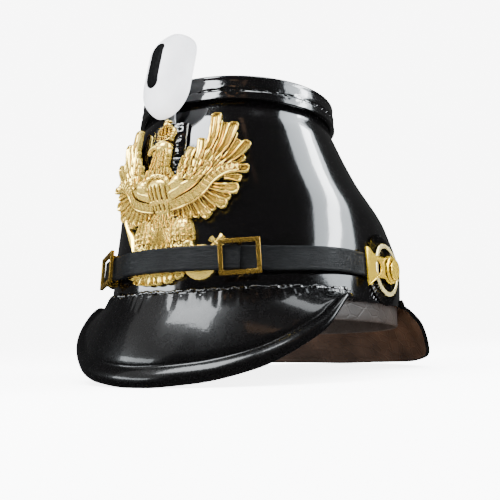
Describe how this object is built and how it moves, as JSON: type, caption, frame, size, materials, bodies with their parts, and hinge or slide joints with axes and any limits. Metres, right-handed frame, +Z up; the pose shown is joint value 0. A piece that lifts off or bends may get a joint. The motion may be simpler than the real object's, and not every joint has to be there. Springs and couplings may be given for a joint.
{
  "type": "lacquered leather shako",
  "caption": "Black lacquered leather shako with a front peak, neck guard, chin strap, pierced brass eagle and an oval field badge",
  "frame": {"origin": "middle of the bounding box at its foot, on the surface that the hat stands on", "axes": "+Z up, -Y out of the forehead, +X towards the wearer's left; the hat is tilted as it rests on peak and guard"},
  "size_m": [0.207, 0.2642, 0.2146],
  "materials": {
    "black_leather": "gloss black lacquer",
    "strap_leather": "satin dark grey leather",
    "brown_leather": "plain brown leather",
    "brass": "polished stamped brass",
    "pale_metal": "polished pale brass",
    "white_finish": "pearl white",
    "black_finish": "satin black",
    "steel": "plain sheet"
  },
  "bodies": {
    "root": {"body": "black_leather", "crown_cap": "black_leather", "sweatband": "brown_leather", "peak": "black_leather", "neck_guard": "black_leather", "strap_left": "strap_leather", "strap_right": "strap_leather", "buckle_left": "brass", "buckle_right": "brass", "cockade_left": "black_leather", "cockade_ring_left": "pale_metal", "strap_lug_left": "brass", "boss_left": "brass", "cockade_right": "black_leather", "cockade_ring_right": "pale_metal", "strap_lug_right": "brass", "boss_right": "brass", "badge_pocket": "black_leather", "field_badge": "white_finish", "badge_inlay": "black_finish", "badge_prong": "steel", "eagle_plate": "brass"}
  },
  "joints": []
}
